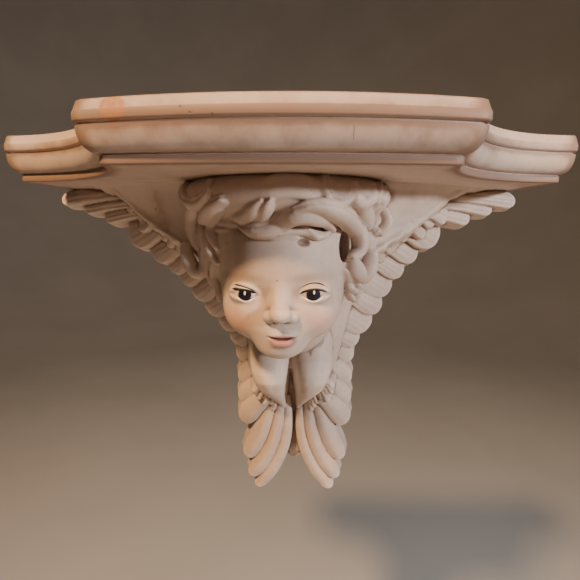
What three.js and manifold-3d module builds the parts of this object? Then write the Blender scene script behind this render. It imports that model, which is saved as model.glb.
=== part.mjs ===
// Cherub wall shelf: a moulded bracket shelf carried by a winged child's head, cast in one piece.
// Millimetres, +Z up. The wall is the plane y = 0, the front faces -Y and +X is on the viewer's right.
// The origin lies on the wall face, on the centre line, one shelfRise below the top.
import * as THREE from "three";
import { mergeVertices } from "three/addons/utils/BufferGeometryUtils.js";
import Module from "manifold-3d";

const wasm = await Module();
wasm.setup();

// Shelf board
const shelfWidth = 356; // along the wall
const shelfDepth = 161; // wall to the middle of the bowed front
const shelfRise = 56; // origin to the top
const boardThickness = 27.6; // top to soffit
const blockWidth = 187; // the block that breaks forward in the middle
const blockBow = 11.5; // how far the block's front swells past its corners, at the top
const soffitBow = 5; // the same at the soffit
const endDepth = 69; // wall to the front of the shelf's ends, where the hollow sweep starts
const sweepPast = 4; // how far past the block's corner the middle of the sweep's curve lies
const cornerRound = 3; // upright corners
const mouldingInset = 7.6; // how far the soffit's edge stands back under the top
const blockTaper = 1.5; // the block's sides stand back this many times as far as its front

// Figure
const figureDrop = 246; // soffit to the lowest feather tips
const headHeight = 106; // crown to chin
const headOut = 58; // wall to the middle of the head
const headShift = -2;
const upperLean = -2.5; // the wings were modelled by eye: they sit a little to the left of the
const lowerLean = 5.5; // centre line at the top and a little to the right of it at the bottom

const wallOverrun = 3; // solids run this far into the wall before the back is cut flat
const soffitZ = shelfRise - boardThickness;
const wingReach = shelfWidth / 2 - mouldingInset;
const cornerDepth = shelfDepth - blockBow;

const { sin, cos, sqrt, PI, min, max, abs, acos, asin } = Math;
const mix = (a, b, t) => a + (b - a) * t;

// A closed three.js geometry as a solid, turned to face outwards.
function solidOf(geometry) {
  const bare = new THREE.BufferGeometry();
  bare.setAttribute("position", geometry.getAttribute("position"));
  if (geometry.index) bare.setIndex(geometry.index);
  const merged = mergeVertices(bare, 1e-4);
  const vertProperties = new Float32Array(merged.attributes.position.array);
  const triVerts = new Uint32Array(merged.index.array);
  const solid = new wasm.Manifold(new wasm.Mesh({ numProp: 3, vertProperties, triVerts }));
  if (solid.volume() > 0) return solid;
  for (let i = 0; i < triVerts.length; i += 3) {
    [triVerts[i + 1], triVerts[i + 2]] = [triVerts[i + 2], triVerts[i + 1]];
  }
  return new wasm.Manifold(new wasm.Mesh({ numProp: 3, vertProperties, triVerts }));
}

function geometryOf(solid) {
  const mesh = solid.getMesh();
  const positions = new Float32Array(mesh.numVert * 3);
  for (let i = 0; i < mesh.numVert; i++) {
    positions.set(mesh.vertProperties.subarray(i * mesh.numProp, i * mesh.numProp + 3), i * 3);
  }
  const geometry = new THREE.BufferGeometry();
  geometry.setAttribute("position", new THREE.BufferAttribute(positions, 3));
  geometry.setIndex(new THREE.BufferAttribute(new Uint32Array(mesh.triVerts), 1));
  geometry.computeVertexNormals();
  return geometry;
}

const joined = (solids) => solids.reduce((all, solid) => all.add(solid));

// Fills every hollow that is closed all round.
function filled(solid) {
  const shells = solid.decompose();
  const outer = shells.reduce((largest, shell) => (shell.volume() > largest.volume() ? shell : largest));
  return outer;
}

// Rings of equally many points, skinned one to the next and capped flat. capPlane picks the two
// coordinates in which the end rings are flat enough to be cut into triangles.
function loft(rings, capPlane = ["x", "y"]) {
  const count = rings[0].length;
  const positions = rings.flat().flatMap((p) => [p.x, p.y, p.z]);
  const index = [];
  for (let r = 0; r + 1 < rings.length; r++) {
    for (let i = 0; i < count; i++) {
      const a = r * count + i;
      const b = r * count + ((i + 1) % count);
      index.push(a, b, a + count, b, b + count, a + count);
    }
  }
  const cap = (ring, first, ringOrder) => {
    const flat = ring.map((p) => new THREE.Vector2(p[capPlane[0]], p[capPlane[1]]));
    const keep = ringOrder === (THREE.ShapeUtils.area(flat) > 0);
    for (const [a, b, c] of THREE.ShapeUtils.triangulateShape(flat, [])) {
      index.push(first + a, first + (keep ? b : c), first + (keep ? c : b));
    }
  };
  cap(rings[0], 0, false);
  cap(rings.at(-1), (rings.length - 1) * count, true);
  const geometry = new THREE.BufferGeometry();
  geometry.setAttribute("position", new THREE.Float32BufferAttribute(positions, 3));
  geometry.setIndex(index);
  return geometry;
}

// The board's outline in plan at one level, standing back by inset from the top's, wall to wall.
function boardOutline(inset, bow) {
  const halfWidth = shelfWidth / 2 - inset;
  const frontCorner = cornerDepth - inset;
  const sweepMiddle = cornerDepth + sweepPast;
  const sweepAcross = (shelfWidth - blockWidth) / 2 + inset * blockTaper;
  const sweepOut = sweepMiddle - endDepth + inset;
  const sweepStart = asin(inset / sweepAcross) + cornerRound / sweepAcross;
  const sweepEnd = acos((sweepMiddle - frontCorner + cornerRound) / sweepOut);
  const halfBlock = shelfWidth / 2 - sweepAcross * sin(sweepEnd);
  const endFront = sweepMiddle - sweepOut * cos(sweepStart);
  const half = [];
  half.push([halfWidth, 0]);
  half.push([halfWidth, endFront - cornerRound]);
  half.push([halfWidth - cornerRound * 0.3, endFront - cornerRound * 0.3]);
  const sweepSteps = 9;
  for (let i = 0; i <= sweepSteps; i++) {
    const angle = mix(sweepStart, sweepEnd, i / sweepSteps);
    half.push([shelfWidth / 2 - sweepAcross * sin(angle), sweepMiddle - sweepOut * cos(angle)]);
  }
  half.push([halfBlock - cornerRound * 0.3, frontCorner - cornerRound * 0.3]);
  const bowSteps = 4;
  for (let i = 0; i < bowSteps; i++) {
    const x = mix(halfBlock - cornerRound, 0, i / bowSteps);
    half.push([x, frontCorner + bow * (1 - (x / halfBlock) ** 2)]);
  }
  const left = half.map(([x, depth]) => [-x, depth]).reverse();
  return [...half, [0, frontCorner + bow], ...left];
}

// The board's moulding from the top down: a fascia with a rounded upper edge, a large ovolo and a
// small band. Each entry is how far it stands back and how far it is below the top.
function boardProfile() {
  const fascia = boardThickness * 0.37;
  const ovolo = boardThickness * 0.815;
  const topRound = { inset: 2, drop: 4.4 };
  const quirk = 1;
  const profile = [0, 0.5, 0.85, 1].map((t) => [
    topRound.inset * (1 - sin((t * PI) / 2)),
    topRound.drop * (1 - cos((t * PI) / 2)),
  ]);
  profile.push([0, fascia - 3 * quirk], [quirk, fascia - quirk * 0.5]);
  const ovoloSteps = 4;
  for (let i = 0; i <= ovoloSteps; i++) {
    const turn = (i / ovoloSteps) * PI * 0.47;
    const inset = mix(mouldingInset * 0.28, mouldingInset * 0.76, 1 - cos(turn));
    profile.push([inset, mix(fascia + quirk * 0.5, ovolo, sin(turn))]);
  }
  profile.push([mouldingInset * 0.92, ovolo + quirk * 0.5]);
  profile.push([mouldingInset * 0.84, ovolo + quirk]);
  profile.push([mouldingInset, boardThickness]);
  return profile;
}

function board() {
  const rings = boardProfile().map(([inset, drop]) => {
    const bow = mix(blockBow, soffitBow, max(0, drop / boardThickness - 0.3) / 0.7);
    return boardOutline(inset, bow).map(([x, depth]) => new THREE.Vector3(x, -depth, shelfRise - drop));
  });
  return solidOf(loft(rings));
}

// Places on the figure's wings: across as a share of the reach, out as a share of the shelf's
// depth, and down as a share of the drop below the soffit.
const place = (across, out, down) => ({
  x: across * wingReach,
  out: out * shelfDepth,
  z: soffitZ - down * figureDrop,
});

// How far the wings sit to the right at one level.
function leanAt(z) {
  const down = (soffitZ - z) / figureDrop;
  return mix(upperLean, lowerLean, min(1, max(0, (down - 0.19) / 0.23)));
}

// The three long primaries close under the soffit, in millimetres from the wings' own middle line.
const primaries = [
  { root: { x: 108, out: 24, z: 24.5 }, tip: { x: 173.5, out: 10, z: 20.5 }, half: 6.6 },
  { root: { x: 100, out: 27, z: 19 }, tip: { x: 156, out: 11, z: 14.5 }, half: 6.4 },
  { root: { x: 92, out: 30, z: 13 }, tip: { x: 139, out: 12, z: 7.5 }, half: 6.8 },
];

// Where the outlines of the other upper feathers cross, from the outside in. The two wings differ
// a little, as they were modelled by hand.
const notches = {
  right: [
    [122, 1], [102.5, -13], [90.5, -25.5], [79, -37.5],
    [68.5, -52.5], [61, -66.5], [49, -81], [43, -92],
  ],
  left: [
    [125, -0.5], [107, -14], [92.5, -26], [83.5, -35], [76, -45],
    [68.5, -57], [59.5, -68.5], [50, -80], [43, -92],
  ],
};

// One feather as a solid that runs back into the wall. It is crowned across, bends sideways, ends
// in a round tip, and is tilted so that its inner edge laps over the next feather.
function feather({ root, tip, halfWidth, bend, crown, tilt, side }) {
  const length = Math.hypot(tip.x - root.x, tip.z - root.z);
  const along = { x: (tip.x - root.x) / length, z: (tip.z - root.z) / length };
  const across = { x: -along.z, z: along.x };
  const tipStart = 1 - min(0.45, (1.3 * halfWidth) / length);
  const stations = [0, tipStart * 0.5, ...[0, 0.5, 0.82, 0.97].map((t) => mix(tipStart, 1, t))];
  const rings = stations.map((s) => {
    const past = max(0, (s - tipStart) / (1 - tipStart));
    const half = halfWidth * mix(0.7, 1, min(1, s / tipStart)) * sqrt(max(0, 1 - past * past));
    const sideways = bend * sin(PI * s);
    const centre = {
      x: mix(root.x, tip.x, s) + across.x * sideways,
      z: mix(root.z, tip.z, s) + across.z * sideways,
    };
    const depth = mix(root.out, tip.out, s) - crown * past * past;
    const front = [-1, -0.6, 0, 0.6, 1].map((u) => ({ u, out: depth + crown * (1 - u * u) - tilt * u }));
    const section = [{ u: -1, out: -wallOverrun }, ...front, { u: 1, out: -wallOverrun }];
    return section.map(({ u, out }) => new THREE.Vector3(
      side * (centre.x + across.x * half * u) + leanAt(centre.z),
      -out,
      centre.z + across.z * half * u,
    ));
  });
  return solidOf(loft(rings, ["x", "y"]));
}

function upperWingFeathers(side) {
  const crown = 0.011 * figureDrop;
  const tilt = 0.012 * figureDrop;
  const feathers = primaries.map(({ root, tip, half }) =>
    feather({ root, tip, halfWidth: half, bend: 1.5, crown, tilt, side }));
  const crossings = side > 0 ? notches.right : notches.left;
  for (let i = 0; i + 1 < crossings.length; i++) {
    const t = i / (crossings.length - 2);
    const [start, end] = [crossings[i], crossings[i + 1]];
    const slope = mix(-22, -38, min(1, t * 2)) * (PI / 180);
    const length = mix(40, 33, min(1, t * 2));
    const bulge = mix(4.5, 3, t);
    const middle = { x: (start[0] + end[0]) / 2, z: (start[1] + end[1]) / 2 };
    const tip = { x: middle.x + cos(slope) * bulge, out: mix(12, 17, t), z: middle.z + sin(slope) * bulge };
    const root = { x: tip.x - cos(slope) * length, out: mix(31, 37, t), z: tip.z - sin(slope) * length };
    const halfWidth = 0.58 * Math.hypot(end[0] - start[0], end[1] - start[1]);
    feathers.push(feather({ root, tip, halfWidth, bend: -1, crown, tilt, side }));
  }
  return feathers;
}

// The folded lower wing: a row of short feathers on its outer edge, then three long ones that
// curve out to the lowest tips.
function lowerWingFeathers(side) {
  const crown = 0.011 * figureDrop;
  const tilt = 0.01 * figureDrop;
  const shortTips = [[44.5, -103.5], [43, -121], [42.5, -138], [41.5, -154.5]];
  const feathers = shortTips.map(([x, z], i) => {
    const slope = mix(-43, -52, i / 3) * (PI / 180);
    const length = 34;
    const root = { x: x - cos(slope) * length, out: 30, z: z - sin(slope) * length };
    return feather({ root, tip: { x, out: 14, z }, halfWidth: 8.2, bend: 1, crown, tilt, side });
  });
  const longFeathers = [
    { root: { x: 15, out: 25, z: -122 }, tip: { x: 38, out: 12.5, z: -188 }, bend: -1.5 },
    { root: { x: 10, out: 24, z: -126 }, tip: { x: 35.5, out: 11.5, z: -205.5 }, bend: -4.5 },
    { root: { x: 5, out: 23, z: -128 }, tip: { x: 30, out: 10.5, z: -215.3 }, bend: -9.5 },
  ];
  for (const { root, tip, bend } of longFeathers) {
    feathers.push(feather({ root, tip, halfWidth: 7.2, bend, crown, tilt, side }));
  }
  return feathers;
}

// The smooth arm of the upper wing: a hollow-swept wall that hangs from the soffit and ends below
// in a rim, deep beside the head and shallow at the shelf's end.
function wingArm(side) {
  const rim = [
    place(0, 0.42, 0.37),
    place(0.1, 0.42, 0.36),
    place(0.23, 0.4, 0.245),
    place(0.36, 0.36, 0.172),
    place(0.56, 0.27, 0.092),
    place(0.7, 0.18, 0.03),
    place(0.8, 0.11, 0.012),
    place(0.97, 0.065, 0.01),
  ];
  const soffitOut = [0.52, 0.52, 0.5, 0.46, 0.36, 0.25, 0.15, 0.07];
  const rimRound = 0.012 * figureDrop;
  const overlap = 1;
  const rings = rim.map(({ x, out, z }, i) => {
    const top = soffitZ + overlap;
    const topOut = soffitOut[i] * shelfDepth;
    const hollow = 0.1 * (top - z);
    const section = [
      [-wallOverrun, top],
      [topOut, top],
      [mix(topOut, out, 0.35) - hollow, mix(top, z, 0.35)],
      [mix(topOut, out, 0.7) - hollow, mix(top, z, 0.7)],
      [out, z + rimRound],
      [out - rimRound * 0.4, z],
      [out - rimRound * 2, z - rimRound * 0.3],
      [-wallOverrun, z - rimRound],
    ];
    return section.map(([o, level]) => new THREE.Vector3(side * x, -o, level));
  });
  return solidOf(loft(rings, ["y", "z"]));
}

// The body behind the head and between the lower wings, as level slices from the soffit down.
function core() {
  const slices = [
    { down: -0.004, half: 0.36, out: 0.4 },
    { down: 0.2, half: 0.33, out: 0.37 },
    { down: 0.42, half: 0.2, out: 0.3 },
    { down: 0.6, half: 0.14, out: 0.18 },
    { down: 0.8, half: 0.09, out: 0.09 },
    { down: 0.905, half: 0.03, out: 0.05 },
  ];
  const rings = slices.map(({ down, half, out }) => {
    const { x, out: depth, z } = place(half, out, down);
    const wallEdge = -wallOverrun / depth;
    const section = [[-1, wallEdge], [-1, 0.6], [-0.6, 0.93], [0, 1], [0.6, 0.93], [1, 0.6], [1, wallEdge]];
    return section.map(([u, v]) => new THREE.Vector3(leanAt(z) + u * x, -v * depth, z));
  });
  return solidOf(loft(rings));
}

// The thin back that the feathers are cast on, narrower than the feathers' outline at every level.
function backing() {
  const outline = [
    [-0.004, 0.9], [0.05, 0.78], [0.12, 0.62], [0.2, 0.5], [0.3, 0.38],
    [0.42, 0.27], [0.6, 0.2], [0.8, 0.16], [0.9, 0.07],
  ];
  const backingOut = 0.05;
  const rings = outline.map(([down, half]) => {
    const { x, out, z } = place(half, backingOut, down);
    const left = [[-x, wallOverrun], [-x, -out * 0.7], [-x * 0.9, -out]];
    const section = [...left, ...left.map(([u, y]) => [-u, y]).reverse()];
    return section.map(([u, y]) => new THREE.Vector3(leanAt(z) + u, y, z));
  });
  return solidOf(loft(rings));
}

// The smooth shoulder of a folded lower wing: a drop with a nearly straight inner edge, which leans
// back to its lower tip and meets its fellow under the chin.
function shoulder(side) {
  const ball = new THREE.SphereGeometry(1, 16, 10);
  const middle = place(0, 0.295, 0.53);
  const half = { x: 0.08 * wingReach, out: 0.12 * shelfDepth, z: 0.14 * figureDrop };
  const innerEdge = { top: -0.01 * wingReach, tip: 0.035 * wingReach };
  const leanBack = 0.09 * shelfDepth;
  const position = ball.getAttribute("position");
  for (let i = 0; i < position.count; i++) {
    const [x, y, z] = [position.getX(i), position.getZ(i), position.getY(i)];
    const ring = sqrt(max(0, 1 - z * z));
    const narrowing = z > 0 ? 1 : 1 - 0.35 * z * z;
    const inner = mix(innerEdge.top, innerEdge.tip, (1 - z) / 2);
    position.setXYZ(
      i,
      side * (inner + (x + ring) * half.x * narrowing) + leanAt(middle.z),
      -middle.out + y * half.out * narrowing - z * leanBack,
      middle.z + z * half.z,
    );
  }
  return solidOf(ball);
}

// Smooth joins of distance fields.
function smoothMin(a, b, k) {
  const h = max(k - abs(a - b), 0) / k;
  return min(a, b) - (h * h * k) / 4;
}
const smoothMax = (a, b, k) => -smoothMin(-a, -b, k);

function ellipsoid(p, centre, radii) {
  const q = [0, 1, 2].map((i) => (p[i] - centre[i]) / radii[i]);
  const k0 = Math.hypot(...q);
  const k1 = Math.hypot(...q.map((v, i) => v / radii[i]));
  return k1 === 0 ? -min(...radii) : (k0 * (k0 - 1)) / k1;
}

function capsule(p, a, b, ra, rb) {
  const ab = b.map((v, i) => v - a[i]);
  const ap = p.map((v, i) => v - a[i]);
  const dot = ab.reduce((sum, v, i) => sum + v * ap[i], 0);
  const t = min(1, max(0, dot / ab.reduce((sum, v) => sum + v * v, 0)));
  return Math.hypot(...ap.map((v, i) => v - ab[i] * t)) - mix(ra, rb, t);
}

// The child's head, in heights of the head from its middle: x to the right, y towards the wall,
// z up. The proportions are the usual ones for a small child, with the eyes below half height.
const eye = { x: 0.184, z: -0.113 };
function headField(x, y, z) {
  const p = [abs(x), y, z];
  const cranium = ellipsoid(p, [0, 0, 0.04], [0.41, 0.45, 0.44]);
  const jaw = ellipsoid(p, [0, -0.1, -0.22], [0.335, 0.31, 0.26]);
  const cheek = ellipsoid(p, [0.165, -0.225, -0.245], [0.15, 0.155, 0.145]);
  const muzzle = ellipsoid(p, [0, -0.3, -0.34], [0.145, 0.13, 0.11]);
  const chin = ellipsoid(p, [0, -0.29, -0.43], [0.13, 0.105, 0.08]);
  const socket = ellipsoid(p, [eye.x - 0.01, -0.49, eye.z + 0.01], [0.125, 0.08, 0.065]);
  const eyeball = ellipsoid(p, [eye.x, -0.335, eye.z], [0.09, 0.085, 0.06]);
  const bridge = capsule(p, [0, -0.4, -0.1], [0, -0.445, -0.21], 0.03, 0.04);
  const tip = ellipsoid(p, [0, -0.45, -0.228], [0.055, 0.05, 0.042]);
  const nostril = ellipsoid(p, [0.05, -0.42, -0.243], [0.036, 0.045, 0.03]);
  const upperLip = ellipsoid(p, [0.028, -0.405, -0.35], [0.05, 0.035, 0.02]);
  const lowerLip = ellipsoid(p, [0, -0.4, -0.392], [0.055, 0.04, 0.024]);
  const mouth = ellipsoid(p, [0, -0.46, -0.371], [0.078, 0.035, 0.006]);
  let d = smoothMin(cranium, jaw, 0.12);
  d = smoothMin(d, cheek, 0.1);
  d = smoothMin(d, muzzle, 0.06);
  d = smoothMin(d, chin, 0.05);
  d = smoothMax(d, -socket, 0.07);
  d = smoothMin(d, eyeball, 0.02);
  d = smoothMin(d, bridge, 0.06);
  d = smoothMin(d, tip, 0.03);
  d = smoothMin(d, nostril, 0.03);
  d = smoothMin(d, upperLip, 0.02);
  d = smoothMin(d, lowerLip, 0.02);
  return smoothMax(d, -mouth, 0.012);
}

// Where between crown and chin the face needs most points, as a share of half a turn, and how
// much closer together they lie there.
const facePolar = 0.6;
const faceDensity = 0.55;

const headCentre = new THREE.Vector3(headShift, -headOut, soffitZ - 0.51 * headHeight);

// A ball whose points are sent out from the middle to where the field is zero, closer together on
// the face than behind.
function head() {
  const columns = 36;
  const rows = 34;
  const ball = new THREE.SphereGeometry(1, columns, rows);
  const position = ball.getAttribute("position");
  for (let i = 0; i < position.count; i++) {
    const round = Math.atan2(position.getX(i), -position.getZ(i));
    const turn = round * mix(0.3, 1, abs(round / PI) ** 1.4);
    const polar = acos(max(-1, min(1, position.getY(i)))) / PI;
    const drift = sin(2 * PI * (polar - facePolar)) + sin(2 * PI * facePolar);
    const tilt = PI * polar - (faceDensity / 2) * drift;
    const direction = [sin(tilt) * sin(turn), -sin(tilt) * cos(turn), cos(tilt)];
    let [near, far] = [0.05, 1];
    for (let step = 0; step < 24; step++) {
      const middle = (near + far) / 2;
      if (headField(...direction.map((v) => v * middle)) < 0) near = middle;
      else far = middle;
    }
    position.setXYZ(i, ...direction.map((v) => v * near));
  }
  ball.scale(headHeight, headHeight, headHeight);
  ball.translate(...headCentre);
  return solidOf(ball);
}

// The hair under the locks, in heights of the head: a cap round the back and sides, and a crown that
// swells forward over the forehead and goes up into the soffit at its full size.
const cap = { centre: [0, 0.04, 0.15], radii: [0.56, 0.42, 0.42] };
const crownMass = { centre: [0.02, 0, 0.42], radii: [0.55, 0.56, 0.2] };
const sideFullness = 0.2; // keeps the locks beside the head out in front of the wings' arms
function hairMass({ centre, radii }) {
  const ball = new THREE.SphereGeometry(1, 16, 10);
  ball.scale(...radii.map((r) => r * headHeight));
  ball.translate(...centre.map((c, i) => c * headHeight + headCentre.getComponent(i)));
  return solidOf(ball);
}

// How far in front of the head's middle such a mass reaches, seen from the front at x and z.
function massOut({ centre, radii }, x, z, least) {
  const rest = 1 - ((x - centre[0]) / radii[0]) ** 2 - ((z - centre[2]) / radii[2]) ** 2;
  return radii[1] * sqrt(max(least, rest)) - centre[1];
}

// A lock of hair drawn as seen from the front, in heights of the head from its middle, and laid
// on the hair's surface: a round tube that swells in the middle and tapers to both ends.
function lock({ points, thick, lift = 0 }) {
  const laid = points.map(([x, z]) => {
    const onFace = 0.43 * sqrt(max(0, 1 - (x / 0.41) ** 2 - ((z - 0.04) / 0.44) ** 2));
    const out = max(onFace, massOut(cap, x, z, sideFullness), massOut(crownMass, x, z, 0)) + lift;
    return new THREE.Vector3(x, -out, z).multiplyScalar(headHeight).add(headCentre);
  });
  const curve = new THREE.CatmullRomCurve3(laid);
  const steps = points.length + 3;
  const frames = curve.computeFrenetFrames(steps);
  const sides = 5;
  const rings = [];
  for (let i = 0; i <= steps; i++) {
    const t = i / steps;
    const radius = thick * headHeight * (0.12 + 0.88 * sin(PI * mix(0.12, 1, t)) ** 0.7);
    const centre = curve.getPointAt(t);
    rings.push(Array.from({ length: sides }, (_, j) => {
      const angle = (j / sides) * 2 * PI;
      return centre.clone()
        .addScaledVector(frames.normals[i], radius * cos(angle))
        .addScaledVector(frames.binormals[i], radius * sin(angle));
    }));
  }
  return solidOf(fanned(rings));
}

// Like loft, but each end is closed by a fan of triangles round its middle.
function fanned(rings) {
  const count = rings[0].length;
  const ends = [rings[0], rings.at(-1)].map((ring) =>
    ring.reduce((sum, p) => sum.add(p), new THREE.Vector3()).divideScalar(count));
  const positions = [...rings.flat(), ...ends].flatMap((p) => [p.x, p.y, p.z]);
  const last = (rings.length - 1) * count;
  const index = [];
  for (let i = 0; i < count; i++) {
    const next = (i + 1) % count;
    for (let r = 0; r + 1 < rings.length; r++) {
      const a = r * count + i;
      const b = r * count + next;
      index.push(a, b, a + count, b, b + count, a + count);
    }
    index.push(rings.length * count, next, i);
    index.push(rings.length * count + 1, last + i, last + next);
  }
  const geometry = new THREE.BufferGeometry();
  geometry.setAttribute("position", new THREE.Float32BufferAttribute(positions, 3));
  geometry.setIndex(index);
  return geometry;
}

const locks = [
  {
    name: "forelock, right",
    points: [[0.1, 0.36], [0.25, 0.34], [0.38, 0.27], [0.45, 0.16], [0.4, 0.08]],
    thick: 0.08,
    lift: -0.02,
  },
  {
    name: "forelock, left",
    points: [[0.2, 0.34], [0.08, 0.33], [-0.04, 0.25], [-0.13, 0.2], [-0.24, 0.24]],
    thick: 0.075,
    lift: -0.01,
  },
  {
    name: "crown wave",
    points: [[0.02, 0.44], [-0.08, 0.4], [-0.15, 0.33], [-0.24, 0.28], [-0.35, 0.27]],
    thick: 0.07,
    lift: -0.045,
  },
  { name: "forehead wisp", points: [[0.08, 0.29], [0.17, 0.24], [0.26, 0.24]], thick: 0.035 },
  { name: "forehead curl", points: [[0.0, 0.19], [0.08, 0.18], [0.15, 0.17]], thick: 0.025 },
  {
    name: "left wave",
    points: [[-0.15, 0.46], [-0.26, 0.39], [-0.32, 0.3], [-0.43, 0.24]],
    thick: 0.08,
    lift: -0.05,
  },
  {
    name: "left side",
    points: [[-0.34, 0.46], [-0.44, 0.34], [-0.45, 0.18], [-0.39, 0.04]],
    thick: 0.085,
    lift: -0.03,
  },
  {
    name: "left outer",
    points: [[-0.5, 0.47], [-0.55, 0.34], [-0.53, 0.2], [-0.49, 0.06]],
    thick: 0.08,
    lift: -0.04,
  },
  {
    name: "left curl",
    points: [[-0.58, 0.14], [-0.56, 0.02], [-0.5, -0.01], [-0.46, 0.08]],
    thick: 0.05,
    lift: -0.05,
  },
  { name: "left lower", points: [[-0.45, 0.08], [-0.42, -0.06], [-0.4, -0.19]], thick: 0.05, lift: -0.06 },
  {
    name: "right top curl",
    points: [[0.24, 0.5], [0.28, 0.42], [0.35, 0.41], [0.39, 0.49]],
    thick: 0.05,
    lift: -0.02,
  },
  {
    name: "right crown curl",
    points: [[0.4, 0.48], [0.43, 0.4], [0.48, 0.39], [0.51, 0.47]],
    thick: 0.05,
    lift: -0.02,
  },
  { name: "right outer", points: [[0.46, 0.43], [0.5, 0.34], [0.53, 0.28], [0.52, 0.2]], thick: 0.06 },
  { name: "right temple", points: [[0.43, 0.19], [0.49, 0.09], [0.5, 0.01], [0.43, -0.04]], thick: 0.065 },
  { name: "right lower, first", points: [[0.4, 0.03], [0.45, -0.05], [0.5, -0.03]], thick: 0.05 },
  { name: "right lower, second", points: [[0.38, -0.04], [0.44, -0.12], [0.48, -0.1]], thick: 0.045 },
  { name: "right lower, third", points: [[0.38, -0.11], [0.43, -0.19], [0.46, -0.17]], thick: 0.04 },
];

function behindWall() {
  const block = new THREE.BoxGeometry(2 * shelfWidth, 100, 3 * (figureDrop + boardThickness));
  block.translate(0, 50, soffitZ - figureDrop / 2);
  return solidOf(block);
}

function casting() {
  const sides = [1, -1];
  const solids = [
    board(),
    core(),
    backing(),
    head(),
    hairMass(cap),
    hairMass(crownMass),
    ...locks.map(lock),
    ...sides.flatMap((side) => [
      wingArm(side),
      shoulder(side),
      ...upperWingFeathers(side),
      ...lowerWingFeathers(side),
    ]),
  ];
  return filled(joined(solids).subtract(behindWall()));
}

const plaster = new THREE.MeshStandardMaterial({ color: 0xcdb09a, roughness: 0.75, metalness: 0 });
const shelf = new THREE.Mesh(geometryOf(casting()), plaster);
shelf.name = "cherub_wall_shelf";

const part = new THREE.Group();
part.add(shelf);
export default part;
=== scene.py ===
"""Cherub wall shelf: the visible casting, its paint, the studio and the camera.

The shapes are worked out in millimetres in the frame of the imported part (the wall is y = 0, the
front faces -Y, +Z is up) and turned into metres when a mesh is made.
"""

import math

import bpy
import numpy as np
import openvdb
from mathutils import Matrix, Vector


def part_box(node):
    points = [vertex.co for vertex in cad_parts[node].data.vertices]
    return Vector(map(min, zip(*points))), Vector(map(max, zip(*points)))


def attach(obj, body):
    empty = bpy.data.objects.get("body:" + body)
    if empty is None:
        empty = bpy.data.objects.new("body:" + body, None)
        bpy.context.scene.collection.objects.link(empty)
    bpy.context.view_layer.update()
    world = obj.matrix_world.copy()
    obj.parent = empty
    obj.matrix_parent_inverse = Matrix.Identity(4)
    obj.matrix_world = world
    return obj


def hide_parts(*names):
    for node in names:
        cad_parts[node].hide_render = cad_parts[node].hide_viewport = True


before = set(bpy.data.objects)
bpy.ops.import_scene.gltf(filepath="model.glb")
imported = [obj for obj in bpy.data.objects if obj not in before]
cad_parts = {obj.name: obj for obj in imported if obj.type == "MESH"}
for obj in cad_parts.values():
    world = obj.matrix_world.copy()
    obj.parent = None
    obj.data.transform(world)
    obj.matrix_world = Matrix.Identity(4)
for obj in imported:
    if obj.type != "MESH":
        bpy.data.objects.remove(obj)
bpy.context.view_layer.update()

NODE = "cherub_wall_shelf"
MM = 0.001
SEED = 11

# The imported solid's box gives the shelf's size
low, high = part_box(NODE)
SHELF_WIDTH = (high.x - low.x) / MM
SHELF_DEPTH = -low.y / MM
SHELF_RISE = high.z / MM
BOTTOM = low.z / MM

# The board, under the part's own names. The ends are 3 mm deeper here than in the part.
BOARD_THICKNESS = 27.6
BLOCK_WIDTH = 187
BLOCK_BOW = 11.5
SOFFIT_BOW = 5
BLOCK_TAPER = 1.5
END_DEPTH = 72
SWEEP_PAST = 4
CORNER_ROUND = 3
MOULDING_INSET = 7.6
TOP_ROUND = 4.9
TOP_INSET = 1.1
FASCIA_SHARE = 0.37
OVOLO_SHARE = 0.815
CORNER_DEPTH = SHELF_DEPTH - BLOCK_BOW
SOFFIT_Z = SHELF_RISE - BOARD_THICKNESS

# The figure
FIGURE_DROP = 246
HEAD_HEIGHT = 106
HEAD_CENTRE = (-2, -58, SOFFIT_Z - 0.51 * HEAD_HEIGHT)

# How far the shapes go into the wall before the back is cut flat
WALL_OVERRUN = 3

# How fine the sculpting grids are
WING_VOXEL = 0.6
HEAD_VOXEL = 0.5
WING_TRIANGLES = 92000
HEAD_TRIANGLES = 84000

# How far from the surface the sculpted fields still count
FIELD_REACH = 3

# The photograph's camera
CAMERA_PLACE = (10.9, -349.7, 0.1)
CAMERA_YAW = math.radians(1.61)
CAMERA_PITCH = math.radians(-8.21)
CAMERA_ROLL = math.radians(0.29)
FOCAL_SHARE = 436 / 580
SENSOR_WIDTH = 36


def mix(a, b, t):
    return a + (b - a) * t


def smooth_step(low_edge, high_edge, value):
    t = np.clip((value - low_edge) / (high_edge - low_edge), 0, 1)
    return t * t * (3 - 2 * t)


def new_object(name, data):
    made = bpy.data.objects.new(name, data)
    bpy.context.scene.collection.objects.link(made)
    return made


def add_camera():
    data = bpy.data.cameras.new("photo_camera")
    data.sensor_fit = "HORIZONTAL"
    data.sensor_width = SENSOR_WIDTH
    data.lens = FOCAL_SHARE * SENSOR_WIDTH
    camera = new_object("photo_camera", data)
    forward = Vector((
        -math.sin(CAMERA_YAW) * math.cos(CAMERA_PITCH),
        math.cos(CAMERA_YAW) * math.cos(CAMERA_PITCH),
        math.sin(CAMERA_PITCH),
    ))
    level = Vector((math.cos(CAMERA_YAW), math.sin(CAMERA_YAW), 0))
    upright = level.cross(forward)
    right = math.cos(CAMERA_ROLL) * level + math.sin(CAMERA_ROLL) * upright
    up = math.cos(CAMERA_ROLL) * upright - math.sin(CAMERA_ROLL) * level
    turn = Matrix((right, up, -forward)).transposed().to_4x4()
    camera.matrix_world = Matrix.Translation(Vector(CAMERA_PLACE) * MM) @ turn
    bpy.context.scene.camera = camera


add_camera()


# Meshes

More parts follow.
